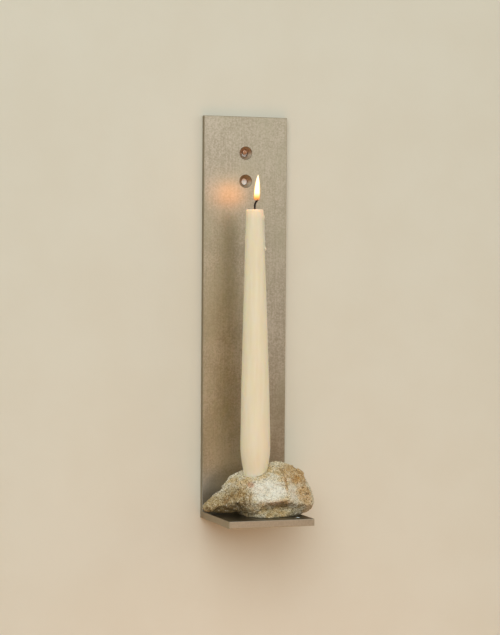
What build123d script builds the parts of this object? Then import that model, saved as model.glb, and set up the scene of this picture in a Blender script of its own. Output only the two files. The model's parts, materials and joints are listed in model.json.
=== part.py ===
from build123d import *
import os
from math import cos, pi, radians, sin

# A wall sconce: an upright length of flat steel bar with a square shelf welded to its foot.
# A loose natural stone stands on the shelf, and a taper candle stands in a socket drilled in the stone.
# Millimetres. The wall face lies in y = 0 and the front looks along -Y.
# The origin is on the wall face, midway between the two screw holes, and +Z points up.

# ---------------------------------------------------------------- steel bar
bar_width = 65.0
bar_thickness = 5.0
plate_height = 300.0
shelf_depth = 65.0        # in front of the back plate
edge_break = 0.4          # chamfer left by dressing the cut edges

# ---------------------------------------------------------------- screw holes, for countersunk wood screws
screw_hole_diameter = 5.0
countersink_diameter = 10.0
countersink_angle = 90.0
hole_spacing = 21.0
top_margin = 27.3         # top end of the plate to the upper hole's centre

# ---------------------------------------------------------------- weld under the joint, ground flush
weld_groove = 3.0

# ---------------------------------------------------------------- stone
stone_length = 81.0
stone_depth = 49.0
stone_height = 39.3       # above the shelf
socket_floor = 17.0       # stone left between the socket and the shelf

# ---------------------------------------------------------------- candle
candle_diameter = 22.0    # at the thickest place
candle_length = 207.5     # what is left of it, from foot to rim
rim_diameter = 12.8
taper_power = 1.3         # above 1, the taper quickens towards the rim
foot_diameter = 17.2      # the straight foot that stands in the socket
foot_length = 14.5
belly_height = 34.0       # from the foot up to the thickest place
rim_wall = 0.8
pool_depth = 1.4
socket_clearance = 0.3    # all round the foot
candle_shift = -1.9       # axis, to the left of the shelf's centre line
candle_lean = 0.5         # degrees, to the left

# ---------------------------------------------------------------- run of wax that has set on the candle's side
run_angle = -18.0         # degrees from +X, negative towards the front
run_top = 4.0             # below the rim
run_length = 25.0
run_diameter = 1.8
drop_diameter = 3.4

# ---------------------------------------------------------------- wick
wick_diameter = 1.5
wick_rise = 2.5           # straight stretch above the rim
wick_bend_radius = 5.3
wick_bend_angle = 58.0

# ---------------------------------------------------------------- places that follow from the sizes
plate_top = hole_spacing / 2 + top_margin
plate_bottom = plate_top - plate_height
plate_front = -bar_thickness
shelf_top = plate_bottom + bar_thickness
shelf_middle = Vector(0, plate_front - shelf_depth / 2, shelf_top)
candle_seat = Location(shelf_middle + Vector(candle_shift, 0, socket_floor)) * Rotation(0, -candle_lean, 0)

# The stone's corners, in per cent of its length, depth and height.
# They are counted from the middle of the shelf's top: right, back and up are positive.
# Corners below the shelf give the flat patch that the stone stands on.
block_corners = [
    # sole
    (-12, 20, -5), (-12, -15, -4), (-4, -35, -3), (2, -40, -2), (16, -35, -3),
    (30, -22, -3), (41, 7, -3), (27, 42, -4), (-2, 39, -4),
    # belt, where the stone is widest
    (-23, -20, 28), (-10, -39, 28), (5, -49, 31), (20, -46, 27), (33, -37, 23), (47, -23, 20),
    (54, -2, 22), (52, 1, 8), (44, 36, 23), (15, 51, 31), (-17, 46, 28),
    # shoulders
    (-19, -9, 66), (-10, -23, 70), (7, -27, 76), (20, -30, 74), (37, -20, 66),
    (52, -1, 41), (45, 1, 72), (38, 32, 61), (-30, 27, 52), (-27, 23, 61),
    # crest
    (-23, 20, 73), (-15, 13, 81), (13, 5, 99), (18, 5, 100), (26, 7, 98),
    (37, 3, 89), (42, 1, 81), (20, 32, 89), (-7, 32, 81),
]
tail_corners = [
    # tip and upper edge
    (-46, 39, 12), (-44, 37, 6), (-44, 37, 21), (-25, 23, 56),
    # underside, clear of the shelf
    (-38, 32, 4), (-30, 22, 3), (-17, 7, 8), (-16, -9, 9),
    # front and back
    (-32, 3, 20), (-22, -13, 31), (-30, 48, 10),
    # root, inside the block
    (-10, 20, 18), (-15, 27, 59),
]


def make_back_plate():
    """Upright flat bar with two countersunk screw holes on its centre line."""
    blank = Box(bar_width, bar_thickness, plate_height, align=(Align.CENTER, Align.MAX, Align.MIN))
    blank = Pos(0, 0, plate_bottom) * blank
    front_edges = blank.faces().sort_by(Axis.Y)[0].edges()
    blank = chamfer(front_edges.filter_by(Axis.Z) + front_edges.sort_by(Axis.Z)[-1:], edge_break)
    drill = CounterSinkHole(
        radius=screw_hole_diameter / 2,
        counter_sink_radius=countersink_diameter / 2,
        depth=bar_thickness,
        counter_sink_angle=countersink_angle,
        mode=Mode.PRIVATE,
    )
    drill = Rotation(90, 0, 0) * drill
    for side in (-1, 1):
        blank = blank - Pos(0, plate_front, side * hole_spacing / 2) * drill
    return blank


def make_shelf_plate():
    """Square shelf that butts on the plate's front, grooved underneath for the weld."""
    blank = Box(bar_width, shelf_depth, bar_thickness, align=(Align.CENTER, Align.MAX, Align.MAX))
    blank = Pos(0, plate_front, shelf_top) * blank
    front_edges = blank.faces().sort_by(Axis.Y)[0].edges()
    blank = chamfer(front_edges, edge_break)
    groove = blank.faces().sort_by(Axis.Y)[-1].edges().sort_by(Axis.Z)[0]
    return chamfer(groove, weld_groove)


def make_weld_seam():
    """Groove weld between shelf and plate, ground flush with the underside."""
    section = Polyline(
        (plate_front, plate_bottom),
        (plate_front, plate_bottom + weld_groove),
        (plate_front - weld_groove, plate_bottom),
        close=True,
    )
    return extrude(Plane.YZ * make_face(section), bar_width / 2, both=True)


def stone_corner(length_share, depth_share, height_share):
    """Place of a corner given in per cent of the stone's size."""
    size = (length_share * stone_length, depth_share * stone_depth, height_share * stone_height)
    return shelf_middle + Vector(*size) / 100


def make_stone():
    """Faceted stone: a block that stands on the shelf, a raised tail, and the candle's socket."""
    block = ConvexPolyhedron([stone_corner(*corner) for corner in block_corners])
    block = split(block, Plane(shelf_middle), keep=Keep.TOP)
    tail = ConvexPolyhedron([stone_corner(*corner) for corner in tail_corners])
    return block + tail - make_candle_body(socket_clearance)


def candle_radius(height):
    """Radius of the candle at a height above its foot."""
    if height <= foot_length:
        return foot_diameter / 2
    belly = candle_diameter / 2
    if height <= belly_height:
        flare = sin(pi / 2 * (height - foot_length) / (belly_height - foot_length))
        return foot_diameter / 2 + flare * (belly - foot_diameter / 2)
    taper = ((height - belly_height) / (candle_length - belly_height)) ** taper_power
    return belly - taper * (belly - rim_diameter / 2)


def side_point(height, allowance=0.0):
    """Point of the candle's outline at a height above its foot, moved out by an allowance."""
    return (candle_radius(height) + allowance, height)


def make_candle_body(allowance=0.0):
    """The candle in its place as a plain turned body, or with an allowance, the room that it needs."""
    flare_heights = [foot_length + share * (belly_height - foot_length) for share in (0, 1 / 3, 2 / 3, 1)]
    taper_heights = [belly_height + share * (candle_length - belly_height) / 6 for share in range(1, 7)]
    side = [side_point(height, allowance) for height in flare_heights + taper_heights]
    outline = [
        Line((0, 0), side_point(0, allowance)),
        Line(side_point(0, allowance), side[0]),
        Spline(side),
        Line(side[-1], (0, candle_length)),
        Line((0, candle_length), (0, 0)),
    ]
    return candle_seat * revolve(Plane.XZ * make_face(outline), Axis.Z)


def make_candle_wax():
    """Taper candle with a shallow pool at the top, a run of wax on its side and a bore for the wick."""
    pool_radius = rim_diameter / 2 - rim_wall
    pool_ball = (pool_radius ** 2 + pool_depth ** 2) / (2 * pool_depth)
    pool = Pos(0, 0, candle_length - pool_depth + pool_ball) * Sphere(pool_ball)
    return make_candle_body() + candle_seat * make_wax_run() - candle_seat * pool - make_candle_wick()


def make_wax_run():
    """Narrow run down the candle's side that ends in a drop, before it is set in place."""
    high = candle_length - run_top
    low = high - run_length
    path = Plane.XZ * Line(side_point(low), side_point(high))
    run = sweep(Plane(path @ 0, z_dir=path % 0) * Circle(run_diameter / 2), path)
    drop = Pos(path @ 0) * Sphere(drop_diameter / 2)
    return Rotation(0, 0, run_angle) * (run + drop)


def make_candle_wick():
    """Cotton wick from the candle's foot to its burnt tip, which bends to the right."""
    start = Vector(0, 0, 0)
    bend = Vector(0, 0, candle_length + wick_rise)
    angle = radians(wick_bend_angle)
    tip = bend + Vector(1 - cos(angle), 0, sin(angle)) * wick_bend_radius
    stem = Line(start, bend)
    burnt = TangentArc(bend, tip, tangent=(0, 0, 1))
    return candle_seat * sweep(Circle(wick_diameter / 2), Wire([stem, burnt]))


nodes = {
    "back_plate": make_back_plate,
    "shelf_plate": make_shelf_plate,
    "weld_seam": make_weld_seam,
    "stone_base": make_stone,
    "candle_wax": make_candle_wax,
    "candle_wick": make_candle_wick,
}

os.makedirs("parts", exist_ok=True)
for name, make in nodes.items():
    export_step(make(), f"parts/{name}.step")
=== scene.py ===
"""Looks of a wall sconce candle holder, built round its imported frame.

A satin steel bracket hangs on a plastered wall. A broken stone stands on its shelf, and a burning
taper candle stands in the stone. Lengths are in metres, and sizes that read better so are given
in millimetres times MM.
"""

import json
import logging
import math
from dataclasses import dataclass, field
from enum import Enum
from typing import Any, Iterable, Sequence

import bmesh
import bpy
import numpy as np
from mathutils import Matrix, Vector


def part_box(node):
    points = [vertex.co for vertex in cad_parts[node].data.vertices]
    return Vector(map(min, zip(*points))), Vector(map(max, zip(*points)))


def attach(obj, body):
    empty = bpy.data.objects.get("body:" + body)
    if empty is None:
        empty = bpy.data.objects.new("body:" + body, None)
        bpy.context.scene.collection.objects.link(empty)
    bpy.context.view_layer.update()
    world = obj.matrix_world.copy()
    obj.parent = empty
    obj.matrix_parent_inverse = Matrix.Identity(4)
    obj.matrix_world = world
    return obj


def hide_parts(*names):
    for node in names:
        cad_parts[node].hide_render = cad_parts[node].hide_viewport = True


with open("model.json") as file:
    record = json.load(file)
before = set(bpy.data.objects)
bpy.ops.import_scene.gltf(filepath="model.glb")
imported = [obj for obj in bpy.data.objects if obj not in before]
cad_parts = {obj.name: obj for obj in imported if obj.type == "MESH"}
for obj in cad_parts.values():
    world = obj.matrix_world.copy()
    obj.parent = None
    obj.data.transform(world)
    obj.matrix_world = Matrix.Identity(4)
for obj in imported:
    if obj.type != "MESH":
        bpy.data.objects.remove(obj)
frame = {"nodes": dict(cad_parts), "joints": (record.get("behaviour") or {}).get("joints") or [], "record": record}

MM = 0.001
LOG = logging.getLogger("sconce")

Material, Object = bpy.types.Material, bpy.types.Object
Node, Socket, Tree = bpy.types.Node, bpy.types.NodeSocket, bpy.types.NodeTree
Feeds = dict[Any, Any] | Sequence[Any]
Point = tuple[float, float, float]

# Node types that come up often, and the settings that go with two of them
MATH, VECTOR = "ShaderNodeMath", "ShaderNodeVectorMath"
RANGE, MIX, BUMP = "ShaderNodeMapRange", "ShaderNodeMix", "ShaderNodeBump"
SPLIT, JOIN, TURN = "ShaderNodeSeparateXYZ", "ShaderNodeCombineXYZ", "ShaderNodeVectorRotate"
NOISE, CELLS = "ShaderNodeTexNoise", "ShaderNodeTexVoronoi"
SOFT = {"interpolation_type": "SMOOTHSTEP"}
COLOUR = {"data_type": "RGBA"}


# ---------------------------------------------------------------------------
# Small tools
# ---------------------------------------------------------------------------

def srgb(code: str, alpha: float = 1.0) -> tuple[float, float, float, float]:
    """Turn an sRGB hex colour into Blender's linear colour.

    Args:
        code: Colour such as "#c8bda9".
        alpha: Fourth number of the result.

    Returns:
        Linear red, green, blue and the alpha.
    """
    parts = [int(code[i:i + 2], 16) / 255 for i in (1, 3, 5)]
    linear = [c / 12.92 if c <= 0.04045 else ((c + 0.055) / 1.055) ** 2.4 for c in parts]
    return (*linear, alpha)


def plug(tree: Tree, socket: Socket, source: Any) -> None:
    """Feed an input.

    Args:
        tree: Node tree that holds it.
        socket: The input.
        source: A node, whose first live output is taken, an output or a constant.
    """
    if isinstance(source, Node):
        source = next(output for output in source.outputs if output.enabled)
    if isinstance(source, Socket):
        tree.links.new(source, socket)
    else:
        socket.default_value = source


def add_node(tree: Tree, kind: str, feeds: Feeds = (), **settings: Any) -> Node:
    """Add one node to a tree, with its settings and what feeds it.

    Args:
        tree: Shader or geometry node tree.
        kind: Node type, such as "ShaderNodeMix".
        feeds: What feeds its inputs: a list for the live ones in order, or a dict by name or number.
        settings: Attributes of the node.

    Returns:
        The new node.
    """
    node = tree.nodes.new(kind)
    for name, value in settings.items():
        setattr(node, name, value)
    if not isinstance(feeds, dict):
        live = [number for number, socket in enumerate(node.inputs) if socket.enabled]
        feeds = dict(zip(live, feeds))
    for key, source in feeds.items():
        plug(tree, node.inputs[key], source)
    return node


def mount_sizes(name: str) -> dict[str, Any]:
    """Sizes of a mount in the frame's record."""
    return next(mount for mount in frame["record"]["mounts"] if mount["name"] == name)["dims"]


def link_object(name: str, data: Any) -> Object:
    """Put a mesh, lamp or camera in the scene, at the origin.

    Args:
        name: Name of the object.
        data: What it holds.

    Returns:
        The new object.
    """
    obj = bpy.data.objects.new(name, data)
    bpy.context.scene.collection.objects.link(obj)
    return obj


def mesh_object(name: str, points: Iterable[Sequence[float]], edges: Sequence = (),
                faces: Sequence = ()) -> Object:
    """Make an object from points, edges and faces.

    Args:
        name: Name of the object.
        points: Corners of the mesh.
        edges: Pairs of corner numbers.
        faces: Rows of corner numbers.

    Returns:
        The new object.
    """
    mesh = bpy.data.meshes.new(name)
    mesh.from_pydata([tuple(p) for p in points], list(edges), list(faces))
    mesh.update()
    return link_object(name, mesh)


def settle(obj: Object, smooth: bool = True) -> None:
    """Turn an object's modifiers into plain mesh, weld its seams and face it outwards.

    Args:
        obj: Object with live modifiers.
        smooth: Whether its faces are shaded smooth.
    """
    graph = bpy.context.evaluated_depsgraph_get()
    baked = bpy.data.meshes.new_from_object(obj.evaluated_get(graph))
    obj.modifiers.clear()
    obj.data = baked
    work = bmesh.new()
    work.from_mesh(baked)
    bmesh.ops.remove_doubles(work, verts=work.verts, dist=0.004 * MM)
    bmesh.ops.recalc_face_normals(work, faces=work.faces)
    for face in work.faces:
        face.smooth = smooth
    work.to_mesh(baked)
    work.free()


class GeometryTree:
    """A Geometry Nodes tree with named inputs, built in this script."""

    def __init__(self, name: str, inputs: dict[str, tuple[str, Any]]) -> None:
        """Start a tree.

        Args:
            name: Name of the tree.
            inputs: Input name to its socket type and its value.
        """
        self.tree = bpy.data.node_groups.new(name, "GeometryNodeTree")
        self.values: dict[str, Any] = {}
        face = self.tree.interface
        face.new_socket("Geometry", in_out="INPUT", socket_type="NodeSocketGeometry")
        for key, (kind, value) in inputs.items():
            socket = face.new_socket(key, in_out="INPUT", socket_type=kind)
            self.values[socket.identifier] = value
        face.new_socket("Geometry", in_out="OUTPUT", socket_type="NodeSocketGeometry")
        self.inputs = self.tree.nodes.new("NodeGroupInput").outputs

    def add(self, kind: str, feeds: Feeds = (), **settings: Any) -> Node:
        """Add a node to the tree, as add_node does."""
        return add_node(self.tree, kind, feeds, **settings)

    def share(self, value: Any, start: Any, reach: Any) -> Node:
        """Rise from 0 to 1, and stay there.

        Args:
            value: Value that rises.
            start: Where the share is 0.
            reach: How far on from there it gets to 1.

        Returns:
            The share.
        """
        share = self.add(MATH, [value, start], operation="SUBTRACT")
        share = self.add(MATH, [share, reach], operation="DIVIDE")
        share = self.add(MATH, [share, 0.0], operation="MAXIMUM")
        return self.add(MATH, [share, 1.0], operation="MINIMUM")

    def run(self, obj: Object, geometry: Node, material: Material) -> None:
        """End the tree in Realize Instances and Set Material, and turn an object into what it makes.

        Args:
            obj: Object that the tree works on.
            geometry: Last node of the shape.
            material: Finish of the piece.
        """
        real = self.add("GeometryNodeRealizeInstances", [geometry])
        dressed = self.add("GeometryNodeSetMaterial", {"Geometry": real, "Material": material})
        self.add("NodeGroupOutput", [dressed])
        modifier = obj.modifiers.new(self.tree.name, "NODES")
        modifier.node_group = self.tree
        for identifier, value in self.values.items():
            modifier[identifier] = value
        settle(obj)


# ---------------------------------------------------------------------------
# Finishes
# ---------------------------------------------------------------------------

class Grain(Enum):
    """Way that the grinding lines run: how much longer they are along X, Y and Z."""

    UPRIGHT = (1, 1, 60)
    ACROSS = (60, 1, 1)


class Cover(Enum):
    """How a colour lies on what is under it."""

    TINT = "MULTIPLY"    # soaked in, so that the grain shows
    COAT = "MIX"         # on top


@dataclass(frozen=True)
class Layer:
    """One colour over another, as thick as a pattern says."""

    colour: str
    pattern: Any
    span: tuple[float, float]                  # values of the pattern
    share: tuple[float, float] = (0.0, 1.0)    # how much of the colour there is at them
    cover: Cover = Cover.COAT


@dataclass(frozen=True)
class Stain:
    """A patch of colour on a piece, placed in shares of the piece's box."""

    share: Point
    radii: Point
    colour: str
    strength: float
    cover: Cover = Cover.TINT

    def centre(self, node: str) -> Vector:
        """Middle of the patch in a node's box."""
        low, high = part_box(node)
        return Vector(a + (b - a) * t for a, b, t in zip(low, high, self.share))


class ShaderTree:
    """The node tree of one material, with a Principled surface."""

    def __init__(self, name: str) -> None:
        """Start a material with a Principled surface and Object coordinates.

        Args:
            name: Name of the material.
        """
        self.material = bpy.data.materials.new(name)
        self.material.use_nodes = True
        self.tree = self.material.node_tree
        self.tree.nodes.clear()
        self.surface = self.add("ShaderNodeBsdfPrincipled")
        self.output = self.add("ShaderNodeOutputMaterial", {"Surface": self.surface})
        self.place = self.add("ShaderNodeTexCoord").outputs["Object"]

    def add(self, kind: str, feeds: Feeds = (), **settings: Any) -> Node:
        """Add a node to the material, as add_node does."""
        return add_node(self.tree, kind, feeds, **settings)

    def wear(self, **feeds: Any) -> None:
        """Feed the Principled surface; an underscore in a name stands for a space."""
        for name, source in feeds.items():
            plug(self.tree, self.surface.inputs[name.replace("_", " ")], source)

    def height(self) -> Socket:
        """Height in the row frame."""
        return self.add(SPLIT, [self.place]).outputs["Z"]

    def grain(self, size: float, detail: float = 3.0, stretch: Point = (1, 1, 1),
              rough: float = 0.55) -> Socket:
        """Noise whose grain has a real size.

        Args:
            size: Width of a grain in metres.
            detail: Number of finer layers.
            stretch: How much longer the grain is along X, Y and Z.
            rough: Strength of the finer layers.

        Returns:
            The noise from 0 to 1.
        """
        scale = tuple(1 / (size * s) for s in stretch)
        mapped = self.add("ShaderNodeMapping", {"Vector": self.place, "Scale": scale})
        feeds = {"Vector": mapped, "Scale": 1.0, "Detail": detail, "Roughness": rough}
        return self.add(NOISE, feeds).outputs[0]

    def patch(self, centre: Vector, radii: Point) -> Socket:
        """Soft mask round a place in the row frame.

        Args:
            centre: Middle of the mask, where it is 1.
            radii: Where it gets to 0 along X, Y and Z.

        Returns:
            The mask.
        """
        scale = tuple(1 / r for r in radii)
        offset = tuple(-c * s for c, s in zip(centre, scale))
        mapped = self.add("ShaderNodeMapping", {"Vector": self.place, "Location": offset, "Scale": scale})
        return self.add("ShaderNodeTexGradient", [mapped], gradient_type="SPHERICAL").outputs["Fac"]

    def paint(self, ground: Any, *layers: Layer) -> Any:
        """Lay colours over one another.

        Args:
            ground: Colour at the bottom, as a hex code or a node.
            layers: What lies on it, from the bottom up.

        Returns:
            The colour on top.
        """
        colour = srgb(ground) if isinstance(ground, str) else ground
        for layer in layers:
            share = self.add(RANGE, [layer.pattern, *layer.span, *layer.share], **SOFT)
            feeds = [share, colour, srgb(layer.colour)]
            colour = self.add(MIX, feeds, blend_type=layer.cover.value, **COLOUR)
        return colour

    def relief(self, *layers: tuple[Any, float]) -> Node:
        """Pile relief on the surface.

        Args:
            layers: Pattern and real depth in metres of each, from the bottom up.

        Returns:
            The surface's normal.
        """
        below = {}
        for pattern, depth in layers:
            below = {"Normal": self.add(BUMP, {"Height": pattern, "Distance": depth, **below})}
        return below["Normal"]


@dataclass(frozen=True)
class SatinSteel:
    """Mild steel flat bar, ground along its length and waxed.

    The grinding gives a soft, blurred mirror with fine upright lines, and the wax leaves faint clouds.
    The faces that point up are painted dark, as painted shade and painted reflection, and the sides are painted
    darker, as painted shade.
    """

    name: str = "satin_ground_mild_steel"
    light: str = "#cabea8"
    dark: str = "#aca089"
    olive: str = "#b0a98d"
    # painted shade on the side faces
    edge: str = "#87795f"
    # painted shade and painted reflection on the faces that point up, and painted shade round the countersinks'
    # outer rings
    scale: str = "#4c463a"
    # inside each countersink, the steel is browner towards the top
    rust: str = "#b9845c"
    roughness: float = 0.36
    anisotropy: float = 0.25
    cloud_size: float = 26 * MM
    olive_size: float = 38 * MM
    fleck_size: float = 1.1 * MM
    fleck_depth: float = 0.002 * MM
    line_spacing: float = 0.6 * MM    # drawn coarser than the real 0.1 mm, so that it shows
    line_depth: float = 0.0003 * MM
    hole_reach: float = 8 * MM        # of the mask round a countersunk hole
    hole_dulling: float = 0.15        # added to the roughness inside it

    def material(self, node: str, grain: Grain, stains: Sequence[Stain] = (),
                 holes: Sequence[Vector] = ()) -> Material:
        """Build the material.

        Args:
            node: CAD node that wears it.
            grain: Way that the grinding lines run.
            stains: Patches of painted light, painted shade and painted reflection.
            holes: Centres of the countersunk holes; inside each, the steel is browner towards the top and has a
                painted shade ring round its outer edge.

        Returns:
            The material.
        """
        s = ShaderTree(f"{self.name}_{grain.name.lower()}")
        clouds = s.grain(self.cloud_size, 4.0)
        flecks = s.grain(self.fleck_size)
        lines = s.grain(self.line_spacing, 2.0, grain.value)
        tone: Any = 0.0
        for pattern, weight in ((clouds, 0.3), (flecks, 0.5), (lines, 0.2)):
            tone = s.add(MATH, [pattern, weight, tone], operation="MULTIPLY_ADD")
        x, y, z = s.add(SPLIT, [s.add("ShaderNodeNewGeometry").outputs["Normal"]]).outputs
        sideways = s.add(MATH, [x], operation="ABSOLUTE")
        frontal = s.add(MATH, [y], operation="ABSOLUTE")
        colour = s.paint(
            self.dark,
            Layer(self.light, tone, (0.38, 0.62)),
            Layer(self.olive, s.grain(self.olive_size, stretch=(1, 1, 1.6)), (0.38, 0.66), (0.0, 0.5)),
            # patches of painted light, painted shade and painted reflection
            *(Layer(stain.colour, s.patch(stain.centre(node), stain.radii), (0.0, 0.8), (0.0, stain.strength),
                    stain.cover) for stain in stains),
            # painted shade: the side faces are darkened by their normal
            Layer(self.edge, sideways, (0.8, 0.95), (0.0, 0.75)),
            # painted shade and painted reflection: the faces that point up are darkened by their normal
            Layer(self.scale, z, (0.8, 0.95), (0.0, 0.85)),
        )
        rough = s.add(RANGE, [clouds, 0.3, 0.7, self.roughness - 0.015, self.roughness + 0.02], **SOFT)
        rough = s.add(MATH, [rough, s.add(RANGE, [lines, 0.3, 0.7, -0.01, 0.01], **SOFT)], operation="ADD")
        for hole in holes:
            near = s.patch(hole, (self.hole_reach,) * 3)
            sunk = s.add(RANGE, [frontal, 0.75, 0.95, 1.0, 0.0], **SOFT)
            sunk = s.add(MATH, [sunk, s.add(RANGE, [near, 0.1, 0.3], **SOFT)], operation="MULTIPLY")
            # each countersink is browner towards the top, and its outer ring is darkened as painted shade
            upper = s.add(RANGE, [s.height(), hole.z - 2.5 * MM, hole.z + 1.5 * MM, 0.08, 0.5], **SOFT)
            rim = s.add(RANGE, [near, 0.375, 0.45, 0.65, 0.0], **SOFT)
            for share, tint in ((upper, self.rust), (rim, self.scale)):
                share = s.add(MATH, [sunk, share], operation="MULTIPLY")
                colour = s.add(MIX, [share, colour, srgb(tint)], **COLOUR)
            rough = s.add(MATH, [sunk, self.hole_dulling, rough], operation="MULTIPLY_ADD")
        across = (0.0, 0.0, 1.0) if grain is Grain.ACROSS else (1.0, 0.0, 0.0)
        s.wear(
            Base_Color=colour, Roughness=rough, Metallic=1.0,
            Anisotropic=self.anisotropy, Tangent=s.add(JOIN, across),
            Normal=s.relief((lines, self.line_depth), (flecks, self.fleck_depth)),
        )
        return s.material


@dataclass(frozen=True)
class GroundWeld:
    """Mild steel weld metal, ground flush: brighter and more scratched than the bar, with a heat tint."""

    name: str = "ground_mild_steel_weld"
    bright: str = "#b9ad9c"
    tint: str = "#8f7250"
    patch_size: float = 5 * MM
    scratch_spacing: float = 0.6 * MM
    scratch_length: float = 25.0      # times the spacing
    scratch_depth: float = 0.02 * MM

    def material(self) -> Material:
        """Build the material.

        Returns:
            The material.
        """
        s = ShaderTree(self.name)
        scratches = s.grain(self.scratch_spacing, 2.0, (1, self.scratch_length, 1))
        s.wear(
            Base_Color=s.paint(self.bright, Layer(self.tint, s.grain(self.patch_size), (0.4, 0.65))),
            Roughness=s.add(RANGE, [scratches, 0.3, 0.7, 0.3, 0.5], **SOFT), Metallic=1.0,
            Normal=s.relief((scratches, self.scratch_depth)),
        )
        return s.material


@dataclass(frozen=True)
class BrokenSchist:
    """Quartz and mica schist, as broken: needles of pale quartz that lie another way in each grain, dark mica
    between them, iron stains and dusty blotches, with painted shade in the hollows and on the underside and
    painted highlights on the ridges."""

    name: str = "broken_quartz_mica_schist"
    quartz: str = "#f5eed6"
    pale: str = "#d8ceb0"
    middle: str = "#cabb8c"
    mica: str = "#54472a"
    rust: str = "#ead0a0"
    # dust in blotches, and painted shade in the hollows and on the underside
    dust_and_shade: str = "#6c5c37"
    grain_size: float = 6.0 * MM
    wander_size: float = 2.5 * MM     # of the grains' borders
    wander_reach: float = 2 * MM
    zone_size: float = 7 * MM
    blotch_size: float = 2.4 * MM
    rust_size: float = 10 * MM
    speck_size: float = 1.0 * MM
    speck_relief: float = 0.3 * MM
    needle_width: float = 0.55 * MM
    needle_length: float = 3.2        # times the width
    needle_relief: float = 0.25 * MM
    stains: tuple[Stain, ...] = ()

    def needles(self, s: ShaderTree) -> Node:
        """Needles that lie another way in each grain.

        Args:
            s: Tree of the material.

        Returns:
            Their pattern, from 0 to 1.
        """
        wander = s.add(NOISE, {"Vector": s.place, "Scale": 1 / self.wander_size, "Detail": 1.0})
        reach = (self.wander_reach,) * 3
        bent = s.add(VECTOR, [wander.outputs["Color"], reach, s.place], operation="MULTIPLY_ADD")
        grains = s.add(CELLS, {"Vector": bent, "Scale": 1 / self.grain_size, "Randomness": 1.0})
        lie = s.add(VECTOR, [grains.outputs["Color"], 2 * math.pi], operation="SCALE")
        turned = s.add(TURN, {"Vector": s.place, "Rotation": lie}, rotation_type="EULER_XYZ")
        scale = [1 / (self.needle_width * share) for share in (1, 1, self.needle_length)]
        long = s.add(VECTOR, [turned, scale], operation="MULTIPLY")
        return s.add(NOISE, {"Vector": long, "Scale": 1.0, "Detail": 2.0, "Roughness": 0.6})

    def material(self) -> Material:
        """Build the material.

        Returns:
            The material.
        """
        s = ShaderTree(self.name)
        needles = self.needles(s).outputs[0]
        specks = s.grain(self.speck_size, rough=0.7)
        blotches = s.grain(self.blotch_size, 4.0, rough=0.7)
        colour = s.paint(
            self.middle,
            Layer(self.pale, s.grain(self.zone_size, 4.0, (1.6, 1.0, 0.8), 0.6), (0.38, 0.62)),
            Layer(self.quartz, needles, (0.48, 0.58), (0.0, 0.85)),
            Layer(self.mica, needles, (0.36, 0.46), (0.85, 0.0)),
            Layer(self.mica, specks, (0.60, 0.70), (0.0, 0.7)),
            Layer(self.dust_and_shade, blotches, (0.56, 0.66), (0.0, 0.7)),
            Layer(self.quartz, blotches, (0.34, 0.44), (0.6, 0.0)),
            Layer(self.rust, s.grain(self.rust_size, 5.0, rough=0.65), (0.46, 0.62), (0.0, 0.75), Cover.TINT),
        )
        broken = s.add(RANGE, [specks, 0.36, 0.56, 0.35, 1.0], **SOFT)
        for stain in self.stains:
            mask = s.patch(stain.centre("stone_base"), stain.radii)
            mask = s.add(RANGE, [mask, 0.05, 0.55, 0.0, stain.strength], **SOFT)
            share = s.add(MATH, [mask, broken], operation="MULTIPLY")
            feeds = [share, colour, srgb(stain.colour)]
            colour = s.add(MIX, feeds, blend_type=stain.cover.value, **COLOUR)
        facts = s.add("ShaderNodeNewGeometry").outputs
        colour = s.paint(
            colour,
            # painted shade: faces that point down and the hollows are darkened
            Layer(self.dust_and_shade, s.add(SPLIT, [facts["Normal"]]).outputs["Z"], (-0.75, 0.0), (0.5, 0.0)),
            Layer(self.dust_and_shade, facts["Pointiness"], (0.38, 0.50), (0.85, 0.0)),
            # painted highlight on the ridges
            Layer(self.quartz, facts["Pointiness"], (0.52, 0.62), (0.0, 0.5)),
        )
        s.wear(
            Base_Color=colour, Roughness=s.add(RANGE, [needles, 0.4, 0.6, 0.9, 0.6], **SOFT),
            Normal=s.relief((needles, self.needle_relief), (specks, self.speck_relief)),
        )
        return s.material


@dataclass(frozen=True)
class CandleWax:
    """Dipped ivory paraffin: light sinks in and comes out warm, and the dips leave soft upright streaks."""

    name: str = "dipped_ivory_paraffin"
    ivory: str = "#efe7cb"
    deep: str = "#eadfba"
    scatter: float = 4.0 * MM
    scatter_colour: Point = (1.0, 0.74, 0.38)    # how far red, green and blue get, as shares of it
    roughness: float = 0.42
    streak_size: float = 2.5 * MM
    streak_depth: float = 0.05 * MM
    dimple_size: float = 1.2 * MM
    dimple_depth: float = 0.02 * MM
    gloss_size: float = 1.5 * MM
    # painted glow: emission below the rim stands in for the flame's light through the wax
    glow: float = 0.10
    glow_colour: str = "#ff9a62"
    glow_reach: float = 8 * MM

    def material(self, rim: float) -> Material:
        """Build the material.

        Args:
            rim: Height of the candle's rim, below which a painted glow stands in for the flame's light shining
                through the wax.

        Returns:
            The material.
        """
        s = ShaderTree(self.name)
        streaks = s.grain(self.streak_size, stretch=(1, 1, 12))
        dimples = s.grain(self.dimple_size, 2.0)
        gloss = s.grain(self.gloss_size)
        s.wear(
            Base_Color=s.paint(self.ivory, Layer(self.deep, streaks, (0.3, 0.7), (0.0, 0.6))),
            Roughness=s.add(RANGE, [gloss, 0.3, 0.7, self.roughness - 0.06, self.roughness + 0.08], **SOFT),
            Normal=s.relief((streaks, self.streak_depth), (dimples, self.dimple_depth)), IOR=1.44,
            Subsurface_Weight=0.75, Subsurface_Scale=self.scatter, Subsurface_Radius=self.scatter_colour,
            Emission_Color=srgb(self.glow_colour),
            Emission_Strength=s.add(RANGE, [s.height(), rim - self.glow_reach, rim, 0.0, self.glow], **SOFT),
        )
        return s.material


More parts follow.
